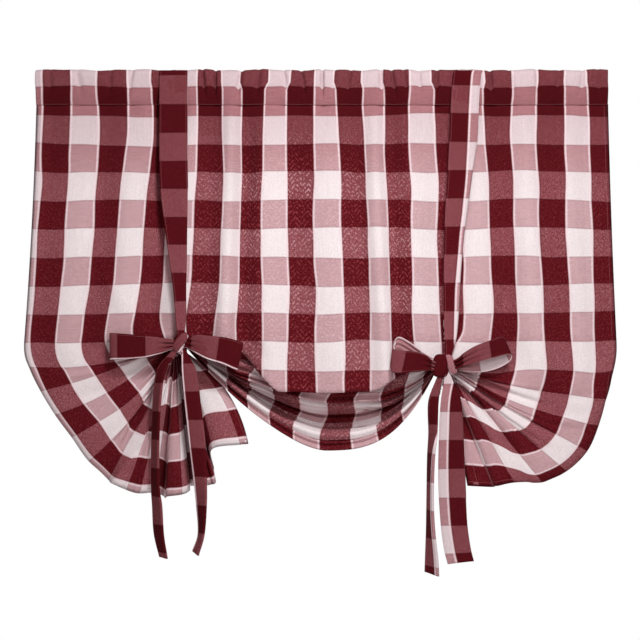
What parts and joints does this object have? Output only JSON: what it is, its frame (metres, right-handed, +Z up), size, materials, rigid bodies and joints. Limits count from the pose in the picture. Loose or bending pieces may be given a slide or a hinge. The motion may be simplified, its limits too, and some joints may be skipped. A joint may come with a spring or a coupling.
{
  "type": "tie-up window valance",
  "caption": "Checked cotton window valance on a rod pocket, gathered up by tied straps into side fans and a middle swag, with bows and hanging tails.",
  "frame": {"origin": "middle of the heading's top edge, on the middle line of the rod pocket", "axes": "+X to the right as seen from the room, +Y towards the window, +Z up; the face that shows looks along -Y"},
  "size_m": [1.0657, 0.1874, 0.9092],
  "materials": {
    "panel": "matt yarn-dyed cotton, maroon and off-white checks",
    "rod_pocket": "matt yarn-dyed cotton, maroon and off-white checks",
    "strap": "matt doubled cotton, maroon face and off-white back",
    "knot": "matt doubled cotton, maroon",
    "loop": "matt doubled cotton, maroon face and off-white back",
    "tail": "matt doubled cotton, maroon and off-white"
  },
  "bodies": {
    "root": {"left_back_strap": "strap", "left_bow_inner_loop": "loop", "left_bow_inner_tail": "tail", "left_bow_outer_loop": "loop", "left_bow_outer_tail": "tail", "left_front_strap": "strap", "left_knot": "knot", "panel": "panel", "right_back_strap": "strap", "right_bow_inner_loop": "loop", "right_bow_inner_tail": "tail", "right_bow_outer_loop": "loop", "right_bow_outer_tail": "tail", "right_front_strap": "strap", "right_knot": "knot", "rod_pocket": "rod_pocket"}
  },
  "joints": []
}
